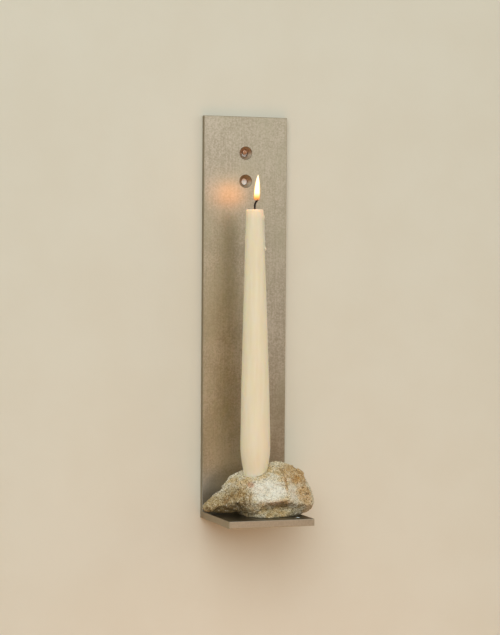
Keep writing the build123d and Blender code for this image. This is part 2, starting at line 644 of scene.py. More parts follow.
@dataclass(frozen=True)
class CharredCotton:
    """Braided cotton wick, charred black, with an ember where it meets the melted wax."""

    name: str = "charred_braided_cotton"
    char: str = "#1a1310"
    singed: str = "#3a2c24"
    ember: str = "#7a2410"
    ember_glow: float = 0.6
    raw: str = "#cdbf9f"
    fibre_size: float = 0.3 * MM
    fibre_depth: float = 0.05 * MM

    def material(self, ember_z: float, reach: float) -> Material:
        """Build the material.

        Args:
            ember_z: Height of the ember.
            reach: How far the ember reaches along the wick.

        Returns:
            The material.
        """
        s = ShaderTree(self.name)
        height = s.height()
        off = s.add(MATH, [height, ember_z], operation="SUBTRACT")
        off = s.add(MATH, [off], operation="ABSOLUTE")
        fibre = s.grain(self.fibre_size, 2.0)
        colour = s.paint(
            self.char,
            Layer(self.singed, fibre, (0.3, 0.7), (0.0, 0.25)),
            Layer(self.ember, off, (0.0, reach), (1.0, 0.0)),
            Layer(self.raw, height, (ember_z - 2 * reach, ember_z - reach), (1.0, 0.0)),
        )
        s.wear(
            Base_Color=colour, Emission_Color=colour, Roughness=0.95,
            Normal=s.relief((fibre, self.fibre_depth)),
            Emission_Strength=s.add(RANGE, [off, 0.0, reach, self.ember_glow, 0.0], **SOFT),
        )
        return s.material


@dataclass(frozen=True)
class FlameGlow:
    """Burning wax vapour: a white-yellow core that fades to orange and then to nothing at its foot."""

    name: str
    foot: str
    body: str
    top: str
    strength: float
    cover: float

    def material(self, low: float, high: float) -> Material:
        """Build the material.

        Args:
            low: Height of the flame's foot.
            high: Height of its tip.

        Returns:
            The material.
        """
        s = ShaderTree(self.name)
        share = s.add(RANGE, [s.height(), low, high])
        layers = Layer(self.body, share, (0.04, 0.22)), Layer(self.top, share, (0.16, 0.34))
        facing = s.add("ShaderNodeLayerWeight", {"Blend": 0.5}).outputs["Facing"]
        solid = s.add(RANGE, [share, 0.0, 0.18, 0.0, self.cover], **SOFT)
        edge = s.add(RANGE, [facing, 0.45, 0.95, 1.0, 0.0], **SOFT)
        s.wear(
            Base_Color=srgb("#000000"), Roughness=1.0, Specular_IOR_Level=0.0,
            Alpha=s.add(MATH, [solid, edge], operation="MULTIPLY"),
            Emission_Color=s.paint(self.foot, *layers),
            Emission_Strength=s.add(RANGE, [share, 0.0, 0.35, 0.4 * self.strength, self.strength], **SOFT),
        )
        return s.material


@dataclass(frozen=True)
class PaintedPlaster:
    """Cream distemper on trowelled plaster or screed: matt, with soft waves and a fine sandy grain."""

    name: str
    paint: str
    shade: str
    one_sided: bool = False           # clear when seen from behind
    trowel_size: float = 60 * MM
    trowel_depth: float = 0.4 * MM
    sand_size: float = 2.5 * MM
    sand_depth: float = 0.05 * MM

    def material(self) -> Material:
        """Build the material.

        Returns:
            The material.
        """
        s = ShaderTree(self.name)
        trowel = s.grain(self.trowel_size, 4.0)
        s.wear(
            Base_Color=s.paint(self.paint, Layer(self.shade, trowel, (0.3, 0.7))),
            Normal=s.relief((trowel, self.trowel_depth), (s.grain(self.sand_size), self.sand_depth)),
            Roughness=0.9, Specular_IOR_Level=0.2,
        )
        if self.one_sided:
            behind = s.add("ShaderNodeNewGeometry").outputs["Backfacing"]
            seen = s.add("ShaderNodeMixShader", [behind, s.surface, s.add("ShaderNodeBsdfTransparent")])
            plug(s.tree, s.output.inputs["Surface"], seen)
        return s.material


@dataclass(frozen=True)
class RustedIron:
    """Nail iron with a dry, matt skin of rust that is worn brighter in small patches."""

    name: str = "rusted_nail_iron"
    rust: str = "#a46c48"
    worn: str = "#dcb898"
    patch_size: float = 0.8 * MM

    def material(self) -> Material:
        """Build the material.

        Returns:
            The material.
        """
        s = ShaderTree(self.name)
        colour = s.paint(self.rust, Layer(self.worn, s.grain(self.patch_size), (0.4, 0.6)))
        s.wear(Base_Color=colour, Metallic=0.4, Roughness=0.5)
        return s.material


# ---------------------------------------------------------------------------
# The steel bracket
# ---------------------------------------------------------------------------

@dataclass
class Bracket:
    """The welded steel plates, with a drop of wax that fell on the shelf."""

    steel: SatinSteel = field(default_factory=SatinSteel)
    weld: GroundWeld = field(default_factory=GroundWeld)
    drop_share: tuple[float, float] = (0.86, 0.16)   # of the shelf's width and depth
    drop_size: Point = (3.0 * MM, 1.7 * MM, 0.35 * MM)
    drop_lobes: float = 0.12                         # how far its border swings in and out
    # painted reflection and painted shade on the plate
    plate_painted_light: tuple[Stain, ...] = ()
    # painted light on the shelf's front face
    shelf_painted_light: tuple[Stain, ...] = ()

    def dress(self) -> None:
        """Give the plates and the weld their metal."""
        screws = mount_sizes("wall_screws")
        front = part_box("back_plate")[0].y
        holes = [Vector((0, front, side * screws["spacing_y_mm"] * MM / 2)) for side in (-1, 1)]
        finishes = {
            "back_plate": self.steel.material("back_plate", Grain.UPRIGHT, self.plate_painted_light, holes),
            "shelf_plate": self.steel.material("shelf_plate", Grain.ACROSS, self.shelf_painted_light),
            "weld_seam": self.weld.material(),
        }
        for node, finish in finishes.items():
            slots = frame["nodes"][node].data.materials
            slots.clear()
            slots.append(finish)
        LOG.info("bracket: plates and weld dressed")

    def make_wax_drop(self, wax: Material) -> None:
        """Set a flat dome of spilt wax on the shelf.

        Args:
            wax: Material of the candle.
        """
        low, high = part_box("shelf_plate")
        x = low.x + self.drop_share[0] * (high.x - low.x)
        y = low.y + self.drop_share[1] * (high.y - low.y)
        work = bmesh.new()
        bmesh.ops.create_icosphere(work, subdivisions=4, radius=0.5)
        for vert in work.verts:
            swirl = 1 + self.drop_lobes * math.sin(3 * math.atan2(vert.co.y, vert.co.x) + 1.0)
            dome = (vert.co.x * swirl, vert.co.y * swirl, 2 * max(vert.co.z, 0.0))
            vert.co = Vector((x, y, high.z)) + Vector(c * size for c, size in zip(dome, self.drop_size))
        mesh = bpy.data.meshes.new("fallen_wax_drop")
        bmesh.ops.remove_doubles(work, verts=work.verts, dist=0.001 * MM)
        bmesh.ops.recalc_face_normals(work, faces=work.faces)
        for face in work.faces:
            face.smooth = True
        work.to_mesh(mesh)
        work.free()
        drop = link_object("fallen_wax_drop", mesh)
        drop.data.materials.append(wax)
        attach(drop, "bracket")
        LOG.info("bracket: wax drop on the shelf")


# ---------------------------------------------------------------------------
# The stone
# ---------------------------------------------------------------------------

@dataclass(frozen=True)
class Feature:
    """A hollow or a swelling in the stone's surface, placed in shares of the stone's box."""

    share: Point
    radii: Point          # metres
    push: Point           # metres, at the middle


@dataclass
class Stone:
    """The broken stone, carved from the frame's plain solid."""

    node: str = "stone_base"
    voxel: float = 0.38 * MM
    sole_clearance: float = 1.6 * MM      # relief fades out over this height above the sole
    mouth_gap: float = 0.4 * MM           # no relief nearer to the socket's wall than this
    mouth_width: float = 1.2 * MM         # and then it fades in over this distance
    mouth_closing: float = 0.24 * MM      # the broken mouth hugs the candle closer than the drilled bore
    mouth_reach: float = 1.6 * MM         # how far round the socket the stone closes in
    bore_height: float = 8 * MM           # above the candle's foot the bore stays as drilled up to here
    swell_size: float = 13 * MM
    swell_height: float = 1.8 * MM
    facet_size: float = 9 * MM
    chip_size: float = 3.6 * MM
    facet_tilt: float = 0.25
    needle_size: float = 1.1 * MM
    needle_height: float = 0.5 * MM
    wander_size: float = 4 * MM           # of the facets' borders
    wander_reach: float = 2.5 * MM
    seed: int = 7
    features: tuple[Feature, ...] = ()
    finish: BrokenSchist = field(default_factory=BrokenSchist)

    def carve(self, seat: Matrix, socket_radius: float) -> None:
        """Carve the stone and set it in place of its CAD node.

        Args:
            seat: Place of the candle's foot, with its axis along local Z.
            socket_radius: Radius of the drilled socket.
        """
        low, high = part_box(self.node)
        mesh = frame["nodes"][self.node].data.copy()
        stone = link_object("broken_stone", mesh)
        work = bmesh.new()
        work.from_mesh(mesh)
        bmesh.ops.remove_doubles(work, verts=work.verts, dist=0.002 * MM)
        work.to_mesh(mesh)
        work.free()
        remesh = stone.modifiers.new("fine skin", "REMESH")
        remesh.mode = "VOXEL"
        remesh.voxel_size = self.voxel
        settle(stone)
        self.press_features(stone, low, high)
        material = self.finish.material()
        self.weather(stone, low, seat, socket_radius, material)
        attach(stone, "stone")
        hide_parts(self.node)
        LOG.info("stone: %d faces", len(stone.data.polygons))

    def press_features(self, stone: Object, low: Vector, high: Vector) -> None:
        """Push the stone's larger hollows and ridges into its skin.

        Args:
            stone: The stone's object.
            low: Lowest corner of the stone.
            high: Highest corner of the stone.
        """
        count = len(stone.data.vertices)
        points = np.empty(count * 3, np.float32)
        stone.data.vertices.foreach_get("co", points)
        points = points.reshape(-1, 3)
        size = np.array(high) - np.array(low)
        push = np.zeros_like(points)
        for feature in self.features:
            centre = np.array(low) + np.array(feature.share) * size
            far = (((points - centre) / np.array(feature.radii)) ** 2).sum(1)
            push += np.exp(-far)[:, None] * np.array(feature.push)
        foot = np.clip((points[:, 2] - low.z) / self.sole_clearance, 0, 1)[:, None]
        points += push * foot
        stone.data.vertices.foreach_set("co", points.ravel())
        stone.data.update()

    def weather(self, stone: Object, low: Vector, seat: Matrix, socket_radius: float,
                material: Material) -> None:
        """Break the skin into swells, tilted facets, chips and needles, away from the sole and the socket.

        Args:
            stone: The stone's object.
            low: Lowest corner of the stone.
            seat: Place of the candle's foot.
            socket_radius: Radius of the socket.
            material: Finish of the stone.
        """
        g = GeometryTree("stone relief", {
            "Swell size": ("NodeSocketFloat", self.swell_size),
            "Swell height": ("NodeSocketFloat", self.swell_height),
            "Facet size": ("NodeSocketFloat", self.facet_size),
            "Chip size": ("NodeSocketFloat", self.chip_size),
            "Facet tilt": ("NodeSocketFloat", self.facet_tilt),
            "Needle size": ("NodeSocketFloat", self.needle_size),
            "Needle height": ("NodeSocketFloat", self.needle_height),
            "Mouth closing": ("NodeSocketFloat", self.mouth_closing),
            "Seed": ("NodeSocketFloat", float(self.seed)),
        })
        place = g.add("GeometryNodeInputPosition")
        height = g.add(SPLIT, [place]).outputs["Z"]
        axis = tuple(seat.to_3x3() @ Vector((0, 0, 1)))
        foot = g.add(VECTOR, [place, tuple(seat.translation)], operation="SUBTRACT")
        off = g.add(VECTOR, [foot, axis], operation="CROSS_PRODUCT")
        away = g.add(VECTOR, [off], operation="LENGTH")
        sole = g.share(height, low.z + 0.3 * MM, self.sole_clearance)
        free = g.share(away, socket_radius + self.mouth_gap, self.mouth_width)
        amount = g.add(MATH, [sole, free], operation="MULTIPLY")
        amount = g.add(MATH, [self.relief(g, place), amount], operation="MULTIPLY")
        normal = g.add("GeometryNodeInputNormal")
        scaled = g.add(VECTOR, [normal, amount], operation="SCALE")
        inward = g.add(VECTOR, [off, axis], operation="CROSS_PRODUCT")
        inward = g.add(VECTOR, [inward], operation="NORMALIZE")
        near = g.share(away, socket_radius + self.mouth_reach, -self.mouth_width)
        above = g.add(MATH, [height, seat.translation.z + self.bore_height], operation="GREATER_THAN")
        closing = g.add(MATH, [near, above], operation="MULTIPLY")
        closing = g.add(MATH, [closing, g.inputs["Mouth closing"]], operation="MULTIPLY")
        inward = g.add(VECTOR, [inward, closing], operation="SCALE")
        moved = g.add(VECTOR, [scaled, inward], operation="ADD")
        shaped = g.add("GeometryNodeSetPosition", {"Geometry": g.inputs["Geometry"], "Offset": moved})
        g.run(stone, shaped, material)

    def relief(self, g: GeometryTree, place: Node) -> Node:
        """Height of the broken skin above the plain one.

        Args:
            g: Tree that carves the stone.
            place: Position of the skin's points.

        Returns:
            The height in metres, along the normal.
        """
        wander = g.add(NOISE, {"Vector": place, "Scale": 1 / self.wander_size, "Detail": 2.0})
        reach = (self.wander_reach,) * 3
        bent = g.add(VECTOR, [wander.outputs["Color"], reach, place], operation="MULTIPLY_ADD")
        scale = g.add(MATH, [1.0, g.inputs["Swell size"]], operation="DIVIDE")
        swell = g.add(NOISE, {"Vector": place, "W": g.inputs["Seed"], "Scale": scale, "Detail": 2.0},
                      noise_dimensions="4D")
        height: Any = self.rise(g, swell, "Swell height")
        for size in ("Facet size", "Chip size"):
            scale = g.add(MATH, [1.0, g.inputs[size]], operation="DIVIDE")
            cells = g.add(CELLS, {"Vector": bent, "W": g.inputs["Seed"], "Scale": scale, "Randomness": 1.0},
                          voronoi_dimensions="4D").outputs
            spread = g.add(VECTOR, [bent, cells["Position"]], operation="SUBTRACT")
            tilt = g.add(VECTOR, [cells["Color"], (0.5, 0.5, 0.5)], operation="SUBTRACT")
            plane = g.add(VECTOR, [spread, tilt], operation="DOT_PRODUCT")
            height = g.add(MATH, [plane, g.inputs["Facet tilt"], height], operation="MULTIPLY_ADD")
            if size == "Facet size":
                lie = g.add(VECTOR, [cells["Color"], 2 * math.pi], operation="SCALE")
        turned = g.add(TURN, {"Vector": place, "Rotation": lie}, rotation_type="EULER_XYZ")
        long = g.add(VECTOR, [turned, (1.0, 1.0, 0.25)], operation="MULTIPLY")
        scale = g.add(MATH, [1.0, g.inputs["Needle size"]], operation="DIVIDE")
        needles = g.add(NOISE, {"Vector": long, "Scale": scale, "Detail": 2.0})
        return g.add(MATH, [height, self.rise(g, needles, "Needle height")], operation="ADD")

    def rise(self, g: GeometryTree, noise: Node, reach: str) -> Node:
        """Turn noise into a height to both sides of zero.

        Args:
            g: Tree that carves the stone.
            noise: Noise from 0 to 1.
            reach: Name of the input with the height from its lowest to its highest point.

        Returns:
            The height in metres.
        """
        centred = g.add(MATH, [noise, 0.5], operation="SUBTRACT")
        return g.add(MATH, [centred, g.inputs[reach]], operation="MULTIPLY")


# ---------------------------------------------------------------------------
# The candle
# ---------------------------------------------------------------------------

@dataclass
class Candle:
    """The taper candle with its run of wax, its wick and its flame."""

    diameter: float = 22.0 * MM
    length: float = 207.5 * MM
    rim_diameter: float = 12.8 * MM
    taper_power: float = 1.3
    foot_diameter: float = 17.2 * MM
    foot_length: float = 14.5 * MM
    belly_height: float = 34.0 * MM
    rim_wall: float = 0.8 * MM
    pool_depth: float = 1.4 * MM
    shift: float = -1.9 * MM
    wick_diameter: float = 1.6 * MM
    wick_rise: float = 2.5 * MM
    wick_bend_radius: float = 5.3 * MM
    wick_bend_angle: float = 58.0
    run_angle: float = -18.0
    run_top: float = 2.5 * MM
    run_length: float = 28.5 * MM
    run_neck: float = 0.45 * MM       # radius of the run above its drop
    run_drop: float = 0.85 * MM       # and how much more the drop has
    run_sunk: float = 0.25 * MM       # of the run's centre in the candle
    flame_width: float = 4.5 * MM
    flame_height: float = 19.4 * MM
    flame_drift: float = 1.25 * MM    # of its tip, to the right
    wax: CandleWax = field(default_factory=CandleWax)
    cotton: CharredCotton = field(default_factory=CharredCotton)

    def __post_init__(self) -> None:
        """Work out the candle's seat and axis from the frame."""
        shelf_low, shelf_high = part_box("shelf_plate")
        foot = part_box("candle_wick")[0].z
        lift = next(j for j in frame["joints"] if j["name"] == "candle_lift")
        axis = Vector(lift["axis"]).normalized()
        middle = (shelf_low + shelf_high) / 2
        turn = Vector((0, 0, 1)).rotation_difference(axis).to_matrix().to_4x4()
        self.seat = Matrix.Translation((middle.x + self.shift, middle.y, foot)) @ turn

    def radius(self, height: float) -> float:
        """Radius of the candle at a height above its foot.

        Args:
            height: Height in metres.

        Returns:
            The radius in metres.
        """
        foot, belly, rim = self.foot_diameter / 2, self.diameter / 2, self.rim_diameter / 2
        if height <= self.foot_length:
            return foot
        if height <= self.belly_height:
            share = (height - self.foot_length) / (self.belly_height - self.foot_length)
            return foot + math.sin(math.pi / 2 * share) * (belly - foot)
        share = (height - self.belly_height) / (self.length - self.belly_height)
        return belly - share ** self.taper_power * (belly - rim)

    def outline(self) -> list[tuple[float, float]]:
        """Draw half the candle's outline.

        Returns:
            Radius and height of its points, from the foot's centre to the pool's centre.
        """
        rim, pool = self.rim_diameter / 2, self.rim_diameter / 2 - self.rim_wall
        foot = [(0.0, 0.0), (self.foot_diameter / 2 - 0.3 * MM, 0.0)]
        side = [(self.radius(h), h) for h in np.linspace(0.3 * MM, self.length - 0.5 * MM, 120)]
        edge = [(rim - 0.15 * MM, self.length - 0.15 * MM), (rim - 0.45 * MM, self.length)]
        turns = np.linspace(0.15, math.pi / 2, 12)[:-1]
        dish = [(pool * math.cos(t), self.length - self.pool_depth * math.sin(t)) for t in turns]
        return foot + side + edge + dish + [(0.0, self.length - self.pool_depth)]

    def make_body(self, material: Material) -> None:
        """Turn the candle's body from its outline and set it in its socket.

        Args:
            material: The wax.
        """
        points = self.outline()
        steps = [(i, i + 1) for i in range(len(points) - 1)]
        body = mesh_object("candle_body", [(r, 0, h) for r, h in points], steps)
        g = GeometryTree("turned candle", {
            "Rings": ("NodeSocketInt", 460),
            "Segments": ("NodeSocketInt", 96),
            "Wave size": ("NodeSocketFloat", 22 * MM),
            "Wave height": ("NodeSocketFloat", 0.45 * MM),
            "Fold angle": ("NodeSocketFloat", math.radians(self.run_angle)),
            "Fold height": ("NodeSocketFloat", self.length - 5.5 * MM),
            "Fold depth": ("NodeSocketFloat", 0.8 * MM),
            "Seed": ("NodeSocketFloat", 3.0),
        })
        profile = g.add("GeometryNodeMeshToCurve", [g.inputs["Geometry"]])
        grid = g.add("GeometryNodeMeshGrid", [1.0, 1.0, g.inputs["Rings"], g.inputs["Segments"]])
        spot = g.add(SPLIT, [g.add("GeometryNodeInputPosition")]).outputs
        along = g.add(MATH, [spot["X"], 0.5], operation="ADD")
        angle = g.add(MATH, [spot["Y"], 0.5], operation="ADD")
        angle = g.add(MATH, [angle, 2 * math.pi], operation="MULTIPLY")
        sample = g.add("GeometryNodeSampleCurve", {"Curves": profile, "Factor": along}, mode="FACTOR",
                       use_all_curves=True)
        at = g.add(SPLIT, [sample.outputs["Position"]]).outputs
        cosine, sine = (g.add(MATH, [angle], operation=part) for part in ("COSINE", "SINE"))

        around = [g.add(MATH, [part, 10 * MM], operation="MULTIPLY") for part in (cosine, sine)]
        stretched = g.add(VECTOR, [g.add(JOIN, [*around, at["Z"]]), (1.0, 1.0, 0.35)], operation="MULTIPLY")
        scale = g.add(MATH, [1.0, g.inputs["Wave size"]], operation="DIVIDE")
        wave = g.add(NOISE, {"Vector": stretched, "W": g.inputs["Seed"], "Scale": scale, "Detail": 2.0},
                     noise_dimensions="4D")
        wave = g.add(MATH, [wave, 0.5], operation="SUBTRACT")
        wave = g.add(MATH, [wave, g.inputs["Wave height"]], operation="MULTIPLY")

        facing = g.add(MATH, [angle, g.inputs["Fold angle"]], operation="SUBTRACT")
        facing = g.add(MATH, [facing], operation="COSINE")
        facing = g.add(MATH, [facing, 0.0], operation="MAXIMUM")
        facing = g.add(MATH, [facing, 6.0], operation="POWER")
        drop = g.add(MATH, [at["Z"], g.inputs["Fold height"]], operation="SUBTRACT")
        drop = g.add(MATH, [drop, 2.2 * MM], operation="DIVIDE")
        level = g.add(MATH, [drop, drop], operation="MULTIPLY")
        level = g.add(MATH, [level, -1.0], operation="MULTIPLY")
        level = g.add(MATH, [level], operation="EXPONENT")
        fold = g.add(MATH, [facing, level], operation="MULTIPLY")
        fold = g.add(MATH, [fold, g.inputs["Fold depth"], wave], operation="MULTIPLY_ADD")

        side = g.add(MATH, [at["X"], self.rim_diameter / 2], operation="DIVIDE")
        side = g.add(MATH, [side, 1.0], operation="MINIMUM")
        out = g.add(MATH, [fold, side, at["X"]], operation="MULTIPLY_ADD")
        above = g.add(MATH, [at["Z"], self.length - 4 * MM], operation="SUBTRACT")
        above = g.add(MATH, [above, 4 * MM], operation="DIVIDE")
        above = g.add(MATH, [above, 0.0], operation="MAXIMUM")
        lift = g.add(MATH, [wave, 1.8], operation="MULTIPLY")
        ring = [g.add(MATH, [out, part], operation="MULTIPLY") for part in (cosine, sine)]
        rise = g.add(MATH, [lift, above, at["Z"]], operation="MULTIPLY_ADD")
        shaped = g.add("GeometryNodeSetPosition", {"Geometry": grid, "Position": g.add(JOIN, [*ring, rise])})
        closed = g.add("GeometryNodeMergeByDistance", {"Geometry": shaped, "Distance": 0.005 * MM})
        g.run(body, closed, material)
        body.data.transform(self.seat)
        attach(body, "candle")
        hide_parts("candle_wax")
        LOG.info("candle: body, %d faces", len(body.data.polygons))

    def sweep(self, name: str, path: Sequence[Point], radii: Sequence[float], lobes: int,
              lobe_depth: float, twist: float, segments: int, material: Material) -> Object:
        """Sweep a round or lobed section along a path with Geometry Nodes.

        Args:
            name: Name of the piece.
            path: Points of the path, in the candle's own frame.
            radii: Radius at each point.
            lobes: Strands seen round the section.
            lobe_depth: Depth of the grooves between them, as a share of the radius.
            twist: Radians of twist for each metre.
            segments: Points round the section.
            material: Finish of the piece.

        Returns:
            The finished piece, in the candle's place.
        """
        piece = mesh_object(name, path, [(i, i + 1) for i in range(len(path) - 1)])
        width = piece.data.attributes.new("width", "FLOAT", "POINT")
        width.data.foreach_set("value", list(radii))
        g = GeometryTree(f"{name} sweep", {
            "Segments": ("NodeSocketInt", segments),
            "Lobes": ("NodeSocketFloat", float(lobes)),
            "Lobe depth": ("NodeSocketFloat", lobe_depth),
            "Twist": ("NodeSocketFloat", twist),
        })
        curve = g.add("GeometryNodeMeshToCurve", [g.inputs["Geometry"]])
        wide = g.add("GeometryNodeInputNamedAttribute", ["width"], data_type="FLOAT")
        curve = g.add("GeometryNodeSetCurveRadius", {"Curve": curve, "Radius": wide})
        along = g.add("GeometryNodeSplineParameter").outputs["Length"]
        tilt = g.add(MATH, [along, g.inputs["Twist"]], operation="MULTIPLY")
        curve = g.add("GeometryNodeSetCurveTilt", {"Curve": curve, "Tilt": tilt})
        ring = g.add("GeometryNodeCurvePrimitiveCircle", [g.inputs["Segments"], 1.0])
        spot = g.add("GeometryNodeInputPosition")
        xyz = g.add(SPLIT, [spot]).outputs
        angle = g.add(MATH, [xyz["Y"], xyz["X"]], operation="ARCTAN2")
        angle = g.add(MATH, [angle, g.inputs["Lobes"]], operation="MULTIPLY")
        groove = g.add(MATH, [g.add(MATH, [angle], operation="COSINE"), 1.0], operation="SUBTRACT")
        groove = g.add(MATH, [groove, g.inputs["Lobe depth"]], operation="MULTIPLY")
        factor = g.add(MATH, [groove, 0.5, 1.0], operation="MULTIPLY_ADD")
        lobed = g.add(VECTOR, [spot, factor], operation="SCALE")
        ring = g.add("GeometryNodeSetPosition", {"Geometry": ring, "Position": lobed})
        links = {"Curve": curve, "Profile Curve": ring, "Scale": wide, "Fill Caps": True}
        g.run(piece, g.add("GeometryNodeCurveToMesh", links), material)
        piece.data.transform(self.seat)
        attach(piece, "candle")
        return piece

    def make_run(self, material: Material) -> None:
        """Lay the run of set wax down the candle's side, with a drop at its end.

        Args:
            material: The wax.
        """
        high = self.length - self.run_top
        angle = math.radians(self.run_angle)
        path: list[Point] = []
        radii: list[float] = []
        for share in np.linspace(0, 1, 60):
            height = high - share * self.run_length
            bulge = self.run_drop * math.exp(-((share - 0.93) / 0.045) ** 2)
            neck = self.run_neck + 0.35 * MM * (1 - share)
            fade = min(1.0, (1.0 - share) / 0.05) ** 0.5 * min(1.0, 0.15 + share / 0.08)
            radius = max((neck + bulge) * fade, 0.02 * MM)
            out = self.radius(height) - self.run_sunk
            swing = angle + 0.06 * math.sin(5 * share)
            path.append((out * math.cos(swing), out * math.sin(swing), height))
            radii.append(radius)
        run = self.sweep("wax_run", path, radii, 1, 0.0, 0.0, 20, material)
        LOG.info("candle: run of wax")

    def wick_path(self) -> list[Point]:
        """Draw the wick's centre line.

        Returns:
            Its points, from just under the pool to the bent tip.
        """
        start = self.length - self.pool_depth - 3 * MM
        bend = self.length + self.wick_rise
        stem = [(0.0, 0.0, z) for z in np.linspace(start, bend, 14)]
        turn = self.wick_bend_radius
        angles = np.linspace(0, math.radians(self.wick_bend_angle), 14)[1:]
        return stem + [(turn * (1 - math.cos(t)), 0.0, bend + turn * math.sin(t)) for t in angles]

    def make_wick(self) -> None:
        """Twist the cotton wick from three strands."""
        path = self.wick_path()
        radii = [self.wick_diameter / 2 * (1.0 if i < len(path) - 3 else 0.75) for i in range(len(path))]
        pool = (self.seat @ Vector((0, 0, self.length - self.pool_depth))).z
        material = self.cotton.material(pool + 0.9 * MM, 1.4 * MM)
        wick = self.sweep("braided_wick", path, radii, 3, 0.22, 1500.0, 24, material)
        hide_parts("candle_wick")
        LOG.info("candle: wick")

    def make_flame(self) -> None:
        """Raise the flame round the wick's tip: a bright core in a thin veil."""
        tip = Vector(self.wick_path()[-1])
        base = Vector((tip.x - 1.1 * MM, 0.0, tip.z - 0.9 * MM))
        core = FlameGlow("candle_flame_core", "#ff9440", "#ffd680", "#fff4d6", 2.8, 1.0)
        veil = FlameGlow("candle_flame_veil", "#ff8a3a", "#ffa850", "#ffc470", 1.9, 0.5)
        for name, glow, width in (("flame_core", core, 0.86), ("flame_veil", veil, 1.12)):
            path: list[Point] = []
            radii: list[float] = []
            for share in np.linspace(0, 1, 60):
                swell = (1 - share ** 3.2) ** 0.9 * (1 - 0.1 * share)
                close = math.sqrt(max(1 - (1 - min(share / 0.06, 1.0)) ** 2, 0.0))
                drift = self.flame_drift * share ** 1.2
                path.append((base.x + drift, base.y, base.z + self.flame_height * share))
                radii.append(max(self.flame_width / 2 * width * swell * close, 0.03 * MM))
            ends = [(self.seat @ Vector(p)).z for p in (path[0], path[-1])]
            self.sweep(name, path, radii, 1, 0.0, 0.0, 32, glow.material(*ends))
        LOG.info("candle: flame")

    def flame_centre(self) -> Vector:
        """Middle of the flame in the row frame."""
        tip = self.wick_path()[-1]
        return self.seat @ Vector((tip[0] - 1.0 * MM, 0.0, tip[2] + 0.35 * self.flame_height))


# ---------------------------------------------------------------------------
# The room: wall, floor, nail, light and camera
# ---------------------------------------------------------------------------

class Side(Enum):
    """Side of the sconce that a lamp stands on, as seen from the front."""

    LEFT = -1
    RIGHT = 1


@dataclass(frozen=True)
class Softbox:
    """A large square lamp with a soft edge."""

    name: str
    side: Side
    away: Point            # across, in front and above, in metres
    size: float
    power: float
    colour: str
    mirrored: bool = True  # whether the steel shows it

    def place(self, target: Vector) -> None:
        """Hang the lamp and aim it.

        Args:
            target: Point that the lamp faces.
        """
        data = bpy.data.lights.new(self.name, "AREA")
        data.shape = "DISK"
        data.size = self.size
        data.energy = self.power
        data.color = srgb(self.colour)[:3]
        lamp = link_object(self.name, data)
        lamp.visible_glossy = self.mirrored
        lamp.location = target + Vector((self.side.value * self.away[0], -self.away[1], self.away[2]))
        lamp.rotation_euler = (target - lamp.location).to_track_quat("-Z", "Y").to_euler()


